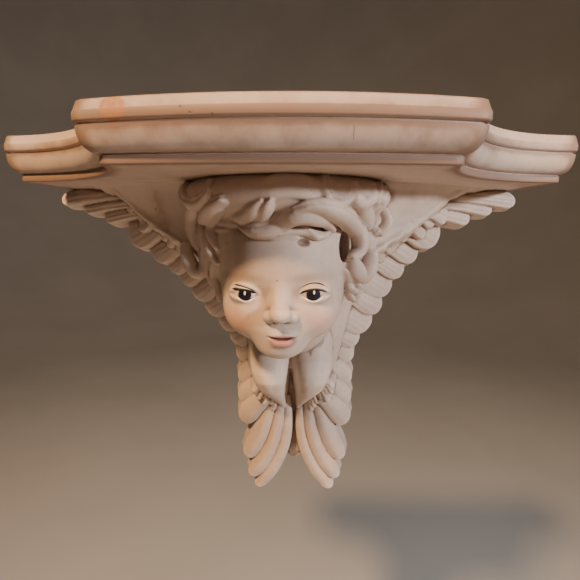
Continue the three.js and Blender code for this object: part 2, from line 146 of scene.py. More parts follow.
def mesh_object(name, points, faces):
    mesh = bpy.data.meshes.new(name)
    mesh.from_pydata((np.asarray(points, float) * MM).tolist(), [], faces)
    mesh.update()
    return new_object(name, mesh)


def field_object(name, field, corner, voxel):
    """A closed mesh where a field of millimetres to the surface is zero."""
    grid = openvdb.FloatGrid()
    grid.copyFromArray(np.ascontiguousarray(field, np.float32))
    grid.transform = openvdb.createLinearTransform(voxel)
    points, triangles, quads = grid.convertToPolygons(0.0, 0.0)
    points = points + np.asarray(corner, np.float32)
    mesh = bpy.data.meshes.new(name)
    loops = np.concatenate([triangles.ravel(), quads.ravel()]).astype(np.int32)
    counts = np.concatenate([np.full(len(triangles), 3), np.full(len(quads), 4)]).astype(np.int32)
    mesh.vertices.add(len(points))
    mesh.vertices.foreach_set("co", (points * MM).astype(np.float32).ravel())
    mesh.loops.add(len(loops))
    mesh.loops.foreach_set("vertex_index", loops)
    mesh.polygons.add(len(counts))
    starts = np.concatenate([[0], np.cumsum(counts)[:-1]]).astype(np.int32)
    mesh.polygons.foreach_set("loop_start", starts)
    mesh.polygons.foreach_set("loop_total", counts)
    mesh.update(calc_edges=True)
    mesh.validate()
    return new_object(name, mesh)


def ring_faces(count, rings, first=0):
    """Quads between each ring of points and the next one. first is the first ring's first point."""
    faces = []
    for ring in range(rings - 1):
        for i in range(count):
            a = first + ring * count + i
            b = first + ring * count + (i + 1) % count
            faces.append((a, a + count, b + count, b))
    return faces


def applied(piece):
    """Makes the result of the piece's modifiers its mesh."""
    depsgraph = bpy.context.evaluated_depsgraph_get()
    mesh = bpy.data.meshes.new_from_object(piece.evaluated_get(depsgraph))
    old = piece.data
    piece.modifiers.clear()
    piece.data = mesh
    bpy.data.meshes.remove(old)
    return piece


def combined(piece, other, operation):
    modifier = piece.modifiers.new("combine", "BOOLEAN")
    modifier.operation = operation
    modifier.solver = "MANIFOLD"
    modifier.object = other
    applied(piece)
    bpy.data.objects.remove(other)
    return piece


def thinned(piece, triangles):
    """Collapses edges until the mesh has about that many triangles."""
    count = sum(len(polygon.vertices) - 2 for polygon in piece.data.polygons)
    if count <= triangles:
        return piece
    modifier = piece.modifiers.new("thin", "DECIMATE")
    modifier.ratio = triangles / count
    return applied(piece)


# The board

def rounded_corner(x, depth):
    """The points of a rounded corner between a side at x and a front at a depth."""
    angles = np.linspace(0, math.pi / 2, 6)[1:-1]
    return [(x - CORNER_ROUND * (1 - math.cos(a)), depth - CORNER_ROUND * (1 - math.sin(a)))
            for a in angles]


def board_outline(inset, bow):
    """The board's outline at one level, from the right end round the front to the left end."""
    half_width = SHELF_WIDTH / 2 - inset
    front = CORNER_DEPTH - inset
    sweep_middle = CORNER_DEPTH + SWEEP_PAST
    sweep_across = (SHELF_WIDTH - BLOCK_WIDTH) / 2 + inset * BLOCK_TAPER
    sweep_out = sweep_middle - END_DEPTH + inset
    sweep_start = math.asin(inset / sweep_across) + CORNER_ROUND / sweep_across
    sweep_end = math.acos((sweep_middle - front + CORNER_ROUND) / sweep_out)
    half_block = SHELF_WIDTH / 2 - sweep_across * math.sin(sweep_end)
    end_front = sweep_middle - sweep_out * math.cos(sweep_start)
    half = [(half_width, depth) for depth in np.linspace(0, end_front - CORNER_ROUND, 8)]
    half += rounded_corner(half_width, end_front)
    for angle in np.linspace(sweep_start, sweep_end, 48):
        half.append((
            SHELF_WIDTH / 2 - sweep_across * math.sin(angle),
            sweep_middle - sweep_out * math.cos(angle),
        ))
    half += rounded_corner(half_block, front)
    for x in np.linspace(half_block - CORNER_ROUND, 0, 40)[:-1]:
        half.append((x, front + bow * (1 - (x / half_block) ** 2)))
    left = [(-x, depth) for x, depth in reversed(half)]
    return np.array([*half, (0, front + bow), *left])


def board_profile():
    """Pairs of inset and drop, from the rounded top edge down to the soffit."""
    fascia = FASCIA_SHARE * BOARD_THICKNESS
    ovolo = OVOLO_SHARE * BOARD_THICKNESS
    edge_in, edge_down = 0.9, 1.1
    flat_top = TOP_INSET + edge_in
    profile = [(flat_top + 7, 0), (flat_top + 1.5, 0)]
    for angle in np.linspace(0, math.pi / 2, 6):
        inset = TOP_INSET + edge_in * (1 - math.sin(angle))
        profile.append((inset, edge_down * (1 - math.cos(angle))))
    profile.append((0.25, TOP_ROUND))
    profile.append((0, TOP_ROUND + 0.5))
    lip = 1.1
    for angle in np.linspace(0, math.pi / 2, 5):
        profile.append((lip * (1 - math.cos(angle)), fascia - 0.4 - lip * (1 - math.sin(angle))))
    quirk = 1.2
    ovolo_top = MOULDING_INSET * 0.08
    ovolo_bottom = MOULDING_INSET * 0.78
    profile += [(ovolo_top + quirk, fascia - 0.1), (ovolo_top + quirk, fascia + 0.7)]
    for turn in np.linspace(0, math.pi * 0.47, 13):
        inset = mix(ovolo_top, ovolo_bottom, 1 - math.cos(turn))
        profile.append((inset, mix(fascia + 0.9, ovolo, math.sin(turn))))
    band = MOULDING_INSET * 0.84
    return profile + [
        (band + 0.5 * quirk, ovolo + 0.2),
        (band + 0.5 * quirk, ovolo + 0.6),
        (band + 0.15, ovolo + 0.9),
        (band, ovolo + 1.3),
        (band, BOARD_THICKNESS - 0.7),
        (band + 0.25, BOARD_THICKNESS - 0.2),
        (MOULDING_INSET, BOARD_THICKNESS),
        (MOULDING_INSET + 1.5, BOARD_THICKNESS),
        (MOULDING_INSET + 5, BOARD_THICKNESS),
    ]


def make_board():
    rings = []
    for inset, drop in board_profile():
        bow = mix(BLOCK_BOW, SOFFIT_BOW, max(0, drop / BOARD_THICKNESS - 0.3) / 0.7)
        outline = board_outline(inset, bow)
        level = np.full(len(outline), SHELF_RISE - drop)
        ring = np.column_stack([outline[:, 0], -outline[:, 1], level])
        ring[[0, -1], 1] = WALL_OVERRUN
        rings.append(ring)
    count = len(rings[0])
    faces = ring_faces(count, len(rings))
    faces.append(tuple(range(count)))
    faces.append(tuple(reversed(range((len(rings) - 1) * count, len(rings) * count))))
    return mesh_object("board", np.concatenate(rings), faces)


# The wings, as a height over the wall for every x and z

wing_x = np.arange(-SHELF_WIDTH / 2 - 4, SHELF_WIDTH / 2 + 4, WING_VOXEL)
wing_z = np.arange(BOTTOM - 5, SOFFIT_Z + 3, WING_VOXEL)
GRID_X, GRID_Z = np.meshgrid(wing_x, wing_z, indexing="ij")

# The height where nothing stands on the wall, deep inside it
NOWHERE = -30.0

# How far the wings sit to the right above and below, and where on the drop, over what share of it,
# the one goes over into the other
UPPER_LEAN = -2.5
LOWER_LEAN = 5.5
LEAN_FROM = 0.19
LEAN_OVER = 0.23


def lean_at(z):
    """How far the wings sit to the right at one level: the leans are given."""
    down = (SOFFIT_Z - z) / FIGURE_DROP
    return mix(UPPER_LEAN, LOWER_LEAN, np.clip((down - LEAN_FROM) / LEAN_OVER, 0, 1))


def smooth_max(a, b, k):
    h = np.maximum(k - np.abs(a - b), 0) / k
    return np.maximum(a, b) + h * h * k / 4


def smooth_min(a, b, k):
    return -smooth_max(-a, -b, k)


def feather(across_grid, root, tip, half_width, bend, crown, tilt, lines, line_depth, tip_share,
            phase=0.0, fan=0.0):
    """The height of one feather. root and tip are (across, z, out). It is crowned across, bends
    sideways and has a blunt round tip. Fine lines run along it, and its lower edge stands proud."""
    length = math.hypot(tip[0] - root[0], tip[1] - root[1])
    along = ((tip[0] - root[0]) / length, (tip[1] - root[1]) / length)
    from_root = (across_grid - root[0], GRID_Z - root[1])
    s = (from_root[0] * along[0] + from_root[1] * along[1]) / length
    inside = np.clip(s, 0, 1)
    side = -from_root[0] * along[1] + from_root[1] * along[0] - bend * np.sin(math.pi * inside)
    body = half_width * mix(0.72, 1, np.clip(s / (1 - tip_share), 0, 1))
    past = np.clip((s - 1 + tip_share) / tip_share, 0, None)
    u = side / body
    blunt = 2.4
    q = (np.abs(u) ** blunt + past ** blunt) ** (1 / blunt) + 1e-6
    reach = np.where(past > np.abs(u), tip_share * length, body)
    beyond = np.maximum((q - 1) * reach, -s * length)
    edge_round = 1.6
    near_edge = np.clip(1 + beyond / edge_round, 0, 1)
    u = np.clip(u, -1.2, 1.2)
    out = mix(root[2], tip[2], np.clip(s, 0, 1.05)) + crown * (1 - u * u) - tilt * u
    out = out - crown * 0.5 * past * past
    spread = u * (1 + fan * (1 - inside))
    ribs = np.abs(np.sin(math.pi * (0.5 * lines * spread + phase))) ** 0.7
    out = out + line_depth * (ribs - 1) * smooth_step(1.0, 0.8, q) * smooth_step(0.0, 0.25, s)
    out = out - edge_round * (1 - np.sqrt(1 - near_edge ** 2 * 0.98))
    fall = 5.0
    return out - fall * np.maximum(beyond, 0)


# The three long primaries close under the soffit, from the top down: root, tip, half width, lines
PRIMARIES = [
    ((108, 24.5, 24), (173.5, 20.5, 9.5), 6.6, 3),
    ((100, 19, 28), (156, 14.5, 11), 6.4, 3),
    ((92, 13, 31), (139, 7.5, 13), 6.8, 4),
]

# Where the outlines of neighbouring upper feathers cross, as (across, z), from the shelf's end down
NOTCHES = {
    1: [(122, 1), (102.5, -13), (90.5, -25.5), (79, -37.5), (68.5, -52.5), (61, -66.5),
        (49, -81), (43, -92)],
    -1: [(125, -0.5), (107, -14), (92.5, -26), (83.5, -35), (76, -45), (68.5, -57),
         (59.5, -68.5), (50, -80), (43, -92)],
}


def upper_feathers(height, across_grid, side, random):
    notches = NOTCHES[side]
    count = len(notches) - 1
    for i in reversed(range(count)):
        t = i / (count - 1)
        start, end = notches[i], notches[i + 1]
        width = math.dist(start, end)
        slope = math.radians(np.interp(t, [0, 0.2, 0.5, 1], [-20, -27, -33, -38]))
        slope += random.uniform(-0.03, 0.03)
        axis = (math.cos(slope), math.sin(slope))
        bulge = np.interp(t, [0, 0.3, 1], [4.8, 4.2, 3.4])
        facing = abs(axis[0] * (start[1] - end[1]) - axis[1] * (start[0] - end[0])) / width
        half = max(6.0, 0.66 * width * facing)
        middle = ((start[0] + end[0]) / 2, (start[1] + end[1]) / 2)
        tip = (middle[0] + axis[0] * bulge, middle[1] + axis[1] * bulge, mix(13, 18, t))
        length = np.interp(t, [0, 0.3, 0.6, 1], [38, 35, 33, 34])
        root = (tip[0] - axis[0] * length, tip[1] - axis[1] * length, mix(32, 37, t))
        height = np.maximum(height, feather(
            across_grid, root, tip, half,
            bend=mix(0.5, -1.0, t) + random.uniform(-0.6, 0.6),
            crown=3.4 + random.uniform(-0.4, 0.4), tilt=2.8, fan=0.5,
            tip_share=min(0.55, 1.15 * half / length + 0.04),
            phase=random.uniform(0, 1), lines=3 + int(random.integers(0, 3)), line_depth=0.45,
        ))
    for root, tip, half, lines in reversed(PRIMARIES):
        height = np.maximum(height, feather(
            across_grid, root, tip, half, bend=1.2, crown=2.6, tilt=2.4, lines=lines,
            line_depth=0.8, tip_share=0.16, phase=random.uniform(0, 1),
        ))
    return height


def covert_feathers(height, across_grid, random):
    """The small ruffled feathers in a row under the arm's edge."""
    count = 13
    for i in range(count):
        t = i / (count - 1)
        start = mix(108, 46, t) + random.uniform(-2, 2)
        z = np.interp(start, ARM_ACROSS, ARM_Z) + 3
        out = np.interp(start, ARM_ACROSS, ARM_OUT)
        slope = math.radians(mix(-18, -46, t) + random.uniform(-14, 14))
        length = random.uniform(9, 17)
        tip = (start + math.cos(slope) * length, z + math.sin(slope) * length, mix(22, 34, t))
        root = (start, z, out - random.uniform(5, 9))
        height = smooth_max(height, feather(
            across_grid, root, tip, random.uniform(3.4, 5.6),
            bend=random.uniform(-1.5, 1.5), crown=1.5, tilt=1.6, lines=2, line_depth=0.3,
            tip_share=0.45, phase=random.uniform(0, 1),
        ), 0.6)
    return height


# The arm's lower edge: how far across, its level, and how far out it and the arm's top stand
ARM_ACROSS = [0, 30, 40, 50, 60, 68, 76.5, 85, 94, 103, 111, 121, 135, 150, 168]
ARM_Z = [-75, -55, -38, -26, -18, -13.5, -8.5, -3.5, 1.5, 7.6, 14.2, 21, 26, 28, 30]
ARM_OUT = [52, 60, 63, 63, 61, 58, 54, 50, 45, 40, 35, 29, 22, 15, 5]
ARM_TOP_OUT = [84, 84, 82, 78, 73.5, 70, 65.5, 61, 57.5, 54, 50, 42, 31, 18, 5]


def arm(across_grid, noise):
    """The smooth arm: a hollow wall from the soffit down to a raised, slightly jagged edge."""
    positive = np.clip(across_grid, ARM_ACROSS[0], ARM_ACROSS[-1])
    edge_z = np.interp(positive, ARM_ACROSS, ARM_Z) + 1.1 * noise
    edge_out = np.interp(positive, ARM_ACROSS, ARM_OUT)
    top_out = np.interp(positive, ARM_ACROSS, ARM_TOP_OUT)
    fall = np.maximum(SOFFIT_Z - edge_z, 0.5)
    t = np.clip((SOFFIT_Z - GRID_Z) / fall, 0, 1)
    hollow = 0.13 * fall * 4 * t * (1 - t)
    out = mix(top_out, edge_out, t) - hollow
    above = GRID_Z - edge_z
    rim_height, rim_level, rim_width = 1.1, 2.4, 1.8
    out = out + rim_height * np.exp(-((above - rim_level) / rim_width) ** 2)
    below = np.maximum(-above, 0)
    edge_round = 2.2
    curl = np.clip(1 - above / edge_round, 0, 1)
    out = out - edge_round * 0.7 * curl ** 2 - 2.6 * below
    out = out - 3 * np.maximum(across_grid - ARM_ACROSS[-1], 0)
    return np.where(across_grid > -1, out, NOWHERE)


def body(across_grid):
    """The body behind the head, which thins to a sunk strip between the lower wings."""
    z_marks = [-189, -183, -168, -150, -128, -119, -100, -75, -21, 30]
    half_marks = [3, 6, 12, 16, 22, 26, 31, 36, 54, 60]
    out_marks = [7, 11, 15, 19, 27, 33, 40, 46, 58, 62]
    half = np.interp(GRID_Z, z_marks, half_marks)
    out = np.interp(GRID_Z, z_marks, out_marks)
    u = np.abs(across_grid) / half
    beyond = np.maximum(u - 1, 0) * half
    fall = 6 * np.maximum(z_marks[0] - GRID_Z, 0)
    return out * (1 - 0.22 * np.minimum(u, 1) ** 4) - 3 * beyond - fall


def backing(across_grid):
    """The thin back that the feathers are cast on."""
    z_marks = [-190, -168, -119, -75, -45, -21, 0, 16, 30]
    half_marks = [3, 22, 33, 43, 62, 82, 102, 130, 150]
    half = np.interp(GRID_Z, z_marks, half_marks)
    beyond = np.maximum(np.abs(across_grid) - half, z_marks[0] - GRID_Z)
    return 8 - 5 * np.maximum(beyond, 0)


# The smooth shoulders of the folded lower wings: the line between them, and at each level their
# inner and outer edge, how far out the edges stand and how much they swell between
LOBE_AXIS = 3.2
LOBE_Z = [-138, -135, -131, -126, -120, -117, -109, -102, -95, -80, -60]
LOBE_INNER = [3.8, 3.6, 3.3, 3.0, 2.6, 2.3, 1.4, 0.3, -0.8, -2.0, -3.0]
LOBE_OUTER = [6.2, 8.6, 12.5, 17.0, 22.5, 24.8, 28.0, 29.5, 30.0, 30.0, 28.0]
LOBE_OUT = [27, 29, 32, 36, 41, 43, 47, 48, 47, 44, 40]
LOBE_SWELL = [4, 7, 9, 12, 15, 16, 18, 18.5, 18, 16, 14]


def lobe(side):
    """The shoulder of one folded wing: a drop shape that ends in a point below."""
    across = side * (GRID_X - LOBE_AXIS)
    inner, outer, edge, swell = (
        np.interp(GRID_Z, LOBE_Z, marks) for marks in (LOBE_INNER, LOBE_OUTER, LOBE_OUT, LOBE_SWELL)
    )
    half = (outer - inner) / 2
    u = (across - (inner + outer) / 2) / half
    inside = np.sqrt(np.clip(1 - np.abs(u) ** 2.2, 0, 1))
    beyond = np.maximum(np.abs(u) - 1, 0) * half
    fall = 6 * np.maximum(LOBE_Z[0] - GRID_Z, 0)
    return edge + swell * (inside - 0.35) - 4 * beyond - fall


def lower_feathers(height, across_grid, random):
    long_feathers = [
        ((7.6, -126, 27), (30.5, -215.3, 11), 7.0, -9.4),
        ((12, -124, 30), (35.4, -205.5, 12), 7.2, -6.8),
        ((17.5, -122, 31), (38.6, -188, 13), 7.6, -3.4),
    ]
    for root, tip, half, bend in long_feathers:
        height = np.maximum(height, feather(
            across_grid, root, tip, half, bend=bend, crown=4.2, tilt=2.2, lines=1,
            line_depth=0.5, tip_share=0.22, phase=0.25,
        ))
    short_tips = [(41.8, -156), (42.5, -139.5), (43.0, -122.5), (44.5, -103.5)]
    for i, (across, z) in enumerate(short_tips):
        slope = math.radians(-56 + 4 * i)
        length = 36
        root = (across - math.cos(slope) * length, z - math.sin(slope) * length, 34)
        height = np.maximum(height, feather(
            across_grid, root, (across, z, 15), 8.6, bend=1.0, crown=4.2, tilt=2.4, lines=2,
            line_depth=0.3, tip_share=0.4, phase=random.uniform(0, 1),
        ))
    ruffles = 13
    for i in range(ruffles):
        t = i / (ruffles - 1)
        start_z = mix(-110, -133, t)
        start = np.interp(start_z, LOBE_Z, LOBE_OUTER) - 4
        slope = math.radians(mix(-50, -84, t) + random.uniform(-10, 10))
        length = random.uniform(8, 14)
        out = np.interp(start_z, LOBE_Z, LOBE_OUT) - 1.0
        tip = (start + math.cos(slope) * length, start_z + math.sin(slope) * length, out - 3.5)
        height = smooth_max(height, feather(
            across_grid, (start, start_z, out), tip, random.uniform(2.0, 3.0),
            bend=random.uniform(-0.8, 0.8), crown=1.6, tilt=1.0, lines=1, line_depth=0.2,
            tip_share=0.35,
        ), 0.6)
    return height


def smooth_noise(random, shape, cell):
    """Smooth random values from -1 to 1 on a grid, with a new one every cell steps."""
    coarse = random.uniform(-1, 1, [int(n / cell) + 3 for n in shape])
    for axis, n in enumerate(shape):
        place = np.arange(n) / cell
        i = place.astype(int)
        t = place - i
        t = t * t * (3 - 2 * t)
        t = t.reshape([-1 if a == axis else 1 for a in range(coarse.ndim)])
        coarse = np.take(coarse, i, axis) * (1 - t) + np.take(coarse, i + 1, axis) * t
    return coarse


def make_wings():
    random = np.random.default_rng(SEED)
    lean = lean_at(GRID_Z)
    height = np.full(GRID_X.shape, NOWHERE)
    jag = smooth_noise(random, GRID_X.shape, 4.2 / WING_VOXEL)
    for side in (1, -1):
        across = side * (GRID_X - lean)
        half = np.maximum(body(across), backing(across))
        half = upper_feathers(half, across, side, random)
        half = covert_feathers(half, across, random)
        half = lower_feathers(half, across, random)
        half = np.maximum(half, arm(across, jag))
        half = smooth_max(half, lobe(side), 1.6)
        saddle_out, saddle_end = 50, -99
        saddle = saddle_out - 0.06 * across ** 2 - 1.3 * np.maximum(saddle_end - GRID_Z, 0)
        half = smooth_max(half, saddle, 3.0)
        seam = 10.0
        height = np.where(across > -seam, np.maximum(height, half), height)
    height = height + 0.35 * smooth_noise(random, GRID_X.shape, 14 / WING_VOXEL)
    slope_x, slope_z = np.gradient(height, WING_VOXEL)
    steepest = 30
    scale = 1 / np.sqrt(1 + np.minimum(slope_x ** 2 + slope_z ** 2, steepest))
    depth = np.arange(-WALL_OVERRUN, height.max() + 3, WING_VOXEL)
    field = (depth[None, ::-1, None] - height[:, None, :]) * scale[:, None, :]
    field = np.maximum(field, -WALL_OVERRUN + WING_VOXEL * 1.5 - depth[None, ::-1, None])
    into_soffit = 1.2
    field = np.maximum(field, wing_z[None, None, :] - (SOFFIT_Z + into_soffit))
    corner = (wing_x[0], -depth[-1], wing_z[0])
    return field_object("wings", np.clip(field, -FIELD_REACH, FIELD_REACH), corner, WING_VOXEL)


# The head, as a field in heights of the head from its middle: x to its left, y towards the wall, z up

HEAD_LOW = np.array([-0.74, -0.62, -0.56])
HEAD_HIGH = np.array([0.74, 0.34, 0.545])
HEAD_STEP = HEAD_VOXEL / HEAD_HEIGHT
head_axes = [np.arange(a, b, HEAD_STEP, dtype=np.float32) for a, b in zip(HEAD_LOW, HEAD_HIGH)]
HX = head_axes[0][:, None, None]
HY = head_axes[1][None, :, None]
HZ = head_axes[2][None, None, :]
EYE_X = 0.187
EYE_Z = -0.12


def ellipsoid(x, y, z, centre, radii):
    q = [(v - c) / r for v, c, r in zip((x, y, z), centre, radii)]
    k0 = np.sqrt(q[0] ** 2 + q[1] ** 2 + q[2] ** 2)
    k1 = np.sqrt(sum((v / r) ** 2 for v, r in zip(q, radii)))
    return k0 * (k0 - 1) / np.maximum(k1, 1e-6)


def capsule(x, y, z, start, end, start_radius, end_radius):
    span = np.subtract(end, start)
    offsets = (x - start[0], y - start[1], z - start[2])
    t = sum(offset * part for offset, part in zip(offsets, span)) / float(span @ span)
    t = np.clip(t, 0, 1)
    away = np.sqrt(sum((offset - part * t) ** 2 for offset, part in zip(offsets, span)))
    return away - mix(start_radius, end_radius, t)


def face_field():
    x, y, z = np.abs(HX), HY, HZ
    d = ellipsoid(x, y, z, (0, 0, 0.04), (0.41, 0.45, 0.44))
    jaw_cheeks_mouth_chin = (
        ((0, -0.1, -0.22), (0.335, 0.31, 0.26), 0.12),
        ((0.17, -0.235, -0.235), (0.15, 0.16, 0.14), 0.08),
        ((0, -0.3, -0.34), (0.14, 0.13, 0.11), 0.09),
        ((0, -0.29, -0.43), (0.125, 0.105, 0.08), 0.08),
    )
    for centre, radii, blend in jaw_cheeks_mouth_chin:
        d = smooth_min(d, ellipsoid(x, y, z, centre, radii), blend)
    socket = ellipsoid(x, y, z, (EYE_X - 0.01, -0.49, EYE_Z + 0.01), (0.125, 0.08, 0.065))
    d = smooth_max(d, -socket, 0.07)
    eyeball = ellipsoid(x, y, z, (EYE_X, -0.335, EYE_Z), (0.088, 0.083, 0.058))
    d = smooth_min(d, eyeball, 0.012)
    lid = ellipsoid(x, y, z, (EYE_X, -0.335, EYE_Z), (0.1, 0.094, 0.07))
    from_eye = x - EYE_X
    upper_edge = EYE_Z + 0.027 - 3.0 * from_eye ** 2 + 0.05 * from_eye
    lower_edge = EYE_Z - 0.036 + 3.4 * from_eye ** 2 + 0.03 * from_eye
    opening = np.maximum(z - upper_edge, lower_edge - z) * 0.8
    d = smooth_min(d, smooth_max(lid, -opening, 0.008), 0.022)
    d = smooth_min(d, capsule(x, y, z, (0, -0.4, -0.1), (0, -0.46, -0.21), 0.03, 0.04), 0.055)
    nose_shift = 0.008
    middle = HX - nose_shift
    side = np.abs(middle)
    d = smooth_min(d, ellipsoid(middle, y, z, (0, -0.478, -0.222), (0.058, 0.05, 0.045)), 0.025)
    d = smooth_min(d, ellipsoid(side, y, z, (0.058, -0.435, -0.24), (0.038, 0.045, 0.033)), 0.018)
    nostril = ellipsoid(side, y, z, (0.034, -0.462, -0.278), (0.02, 0.03, 0.015))
    d = smooth_max(d, -nostril, 0.006)
    d = smooth_min(d, ellipsoid(side, y, z, (0.028, -0.405, -0.342), (0.05, 0.036, 0.022)), 0.02)
    d = smooth_min(d, ellipsoid(side, y, z, (0.01, -0.4, -0.394), (0.052, 0.04, 0.026)), 0.02)
    philtrum = capsule(middle, y, z, (0, -0.454, -0.295), (0, -0.458, -0.33), 0.01, 0.012)
    d = smooth_max(d, -philtrum, 0.02)
    mouth_line = z + 0.369 - 2.6 * side ** 2
    mouth = ellipsoid(side, y, mouth_line, (0, -0.45, 0), (0.088, 0.045, 0.011))
    d = smooth_max(d, -mouth, 0.007)
    return d


# The hair under the locks: a cap round the back and sides, and a crown that swells forward over the
# forehead and goes up into the soffit at its full size
CAP_CENTRE = (0, 0.06, 0.15)
CAP_RADII = (0.56, 0.42, 0.42)
CROWN_CENTRE = (0.02, 0, 0.42)
CROWN_RADII = (0.63, 0.56, 0.2)
SIDE_FULLNESS = 0.2


def mass_out(centre, radii, x, z, least):
    """How far in front of the head's middle a mass of hair reaches, at least by a share."""
    rest = 1 - ((x - centre[0]) / radii[0]) ** 2 - ((z - centre[2]) / radii[2]) ** 2
    return radii[1] * math.sqrt(max(least, rest)) - centre[1]


def hair_depth(x, z):
    """How far out the hair lies at a place seen from the front, in heights of the head."""
    on_face = 1 - (x / 0.41) ** 2 - ((z - 0.04) / 0.44) ** 2
    return max(
        0.45 * math.sqrt(max(0, on_face)),
        mass_out(CAP_CENTRE, CAP_RADII, x, z, SIDE_FULLNESS),
        mass_out(CROWN_CENTRE, CROWN_RADII, x, z, 0),
    )


def spline(points, samples):
    """Even samples of a Catmull-Rom curve through the points."""
    points = np.asarray(points, float)
    padded = np.vstack([2 * points[0] - points[1], points, 2 * points[-1] - points[-2]])
    fine = []
    for i in range(len(points) - 1):
        a, b, c, d = padded[i:i + 4]
        for t in np.linspace(0, 1, 12, endpoint=False):
            fine.append(0.5 * (
                2 * b + (c - a) * t
                + (2 * a - 5 * b + 4 * c - d) * t ** 2
                + (3 * b - a - 3 * c + d) * t ** 3
            ))
    fine.append(points[-1])
    fine = np.array(fine)
    run = np.concatenate([[0], np.cumsum(np.linalg.norm(np.diff(fine, axis=0), axis=1))])
    wanted = np.linspace(0, run[-1], samples)
    return np.column_stack([np.interp(wanted, run, fine[:, k]) for k in range(3)])


# The locks of hair as seen from the front, in heights of the head: the course, half the width, half
# the thickness and how far it is lifted, then the strands and the share of the width at both ends
LOCKS = {
    "crown_high": ([(-0.1, 0.45), (0, 0.47), (0.09, 0.47), (0.2, 0.45)], 0.045, 0.03, -0.018),
    "crown_low": ([(-0.13, 0.41), (-0.04, 0.42), (0.06, 0.43), (0.16, 0.41), (0.23, 0.39)],
        0.045, 0.03, -0.018),
    "fall": ([(0.44, 0.36), (0.5, 0.27), (0.51, 0.17), (0.5, 0.06)],
        0.073, 0.06, -0.038, 1, (0.6, 0.5)),
    "left_b": ([(-0.44, 0.4), (-0.52, 0.34), (-0.54, 0.25), (-0.52, 0.17), (-0.48, 0.1)],
        0.067, 0.055, -0.026, 2, (0.5, 0.4)),
    "left_a": ([(-0.29, 0.38), (-0.38, 0.34), (-0.45, 0.28), (-0.45, 0.19), (-0.42, 0.11),
        (-0.37, 0.04)], 0.063, 0.055, -0.008, 2, (0.5, 0.3)),
    "left_c": ([(-0.31, 0.34), (-0.38, 0.3), (-0.4, 0.24), (-0.39, 0.17), (-0.36, 0.11)],
        0.039, 0.04, -0.006, 1, (0.5, 0.3)),
    "top_left": ([(-0.54, 0.5), (-0.55, 0.43), (-0.51, 0.38), (-0.43, 0.37), (-0.37, 0.41),
        (-0.36, 0.47)], 0.043, 0.045, -0.016, 2, (0.7, 0.6)),
    "second": ([(0.09, 0.325), (0.17, 0.345), (0.26, 0.335), (0.35, 0.295), (0.42, 0.235),
        (0.45, 0.17), (0.44, 0.11), (0.4, 0.08)], 0.056, 0.062, 0.03, 2, (0.5, 0.55)),
    "forelock": ([(-0.22, 0.24), (-0.14, 0.225), (-0.06, 0.24), (0.01, 0.285), (0.09, 0.315),
        (0.17, 0.315), (0.24, 0.285), (0.28, 0.23)], 0.072, 0.058, 0.022, 2, (0.2, 0.3)),
    "under": ([(0.0, 0.2), (0.06, 0.22), (0.12, 0.22), (0.18, 0.205), (0.24, 0.2), (0.28, 0.23)],
        0.024, 0.024, 0.02),
    "wisp": ([(0.09, 0.255), (0.13, 0.245), (0.17, 0.21), (0.2, 0.19), (0.25, 0.2)],
        0.017, 0.024, 0.032),
    "flap": ([(-0.09, 0.19), (-0.03, 0.19), (0.03, 0.195), (0.08, 0.19), (0.115, 0.17)],
        0.016, 0.014, 0.0),
    "lobe_b": ([(-0.08, 0.37), (-0.14, 0.325), (-0.2, 0.295), (-0.26, 0.29)],
        0.042, 0.046, 0.0, 1, (0.3, 0.3)),
    "lobe_a": ([(-0.03, 0.38), (-0.06, 0.34), (-0.1, 0.3), (-0.16, 0.27)],
        0.036, 0.042, 0.004, 1, (0.3, 0.3)),
    "temple_a": ([(-0.4, 0.25), (-0.33, 0.262), (-0.25, 0.255), (-0.17, 0.25)],
        0.02, 0.022, -0.003),
    "temple_b": ([(-0.41, 0.215), (-0.35, 0.225), (-0.29, 0.225)], 0.017, 0.02, -0.01),
    "left_u": ([(-0.59, 0.14), (-0.58, 0.06), (-0.54, -0.02), (-0.5, -0.03), (-0.465, 0.02),
        (-0.46, 0.1)], 0.044, 0.045, -0.018, 1, (0.4, 0.5)),
    "thin_a": ([(-0.44, 0.06), (-0.44, -0.03), (-0.43, -0.11)], 0.022, 0.032, -0.018),
    "thin_b": ([(-0.4, 0.04), (-0.41, -0.05), (-0.405, -0.13)], 0.022, 0.032, -0.018),
    "thin_c": ([(-0.39, -0.07), (-0.385, -0.14), (-0.38, -0.21)], 0.018, 0.03, -0.018),
    "top_right_a": ([(0.23, 0.5), (0.24, 0.42), (0.28, 0.37), (0.34, 0.385), (0.365, 0.44)],
        0.042, 0.036, -0.02, 2, (0.7, 0.6)),
    "top_right_b": ([(0.38, 0.46), (0.395, 0.4), (0.44, 0.375), (0.485, 0.4), (0.49, 0.46)],
        0.038, 0.036, -0.02, 1, (0.7, 0.6)),
    "strand_a": ([(0.56, 0.5), (0.52, 0.4), (0.5, 0.31)], 0.021, 0.03, -0.008),
    "strand_b": ([(0.6, 0.48), (0.56, 0.39), (0.53, 0.32)], 0.021, 0.03, -0.018),
    "ring": ([(0.545, 0.36), (0.53, 0.29), (0.55, 0.22), (0.59, 0.225), (0.62, 0.28), (0.6, 0.34)],
        0.029, 0.035, -0.003, 1, (0.5, 0.6)),
    "big": ([(0.4, 0.07), (0.425, 0.01), (0.475, -0.035), (0.515, 0.0), (0.53, 0.08)],
        0.056, 0.06, 0.0, 1, (0.5, 0.6)),
    "u2": ([(0.36, 0.0), (0.415, -0.08), (0.48, -0.105), (0.53, -0.06)], 0.029, 0.036, -0.008),
    "u3": ([(0.375, -0.08), (0.435, -0.135), (0.5, -0.115)], 0.027, 0.032, -0.008),
    "u4": ([(0.385, -0.15), (0.435, -0.185), (0.49, -0.15)], 0.024, 0.03, -0.008),
}

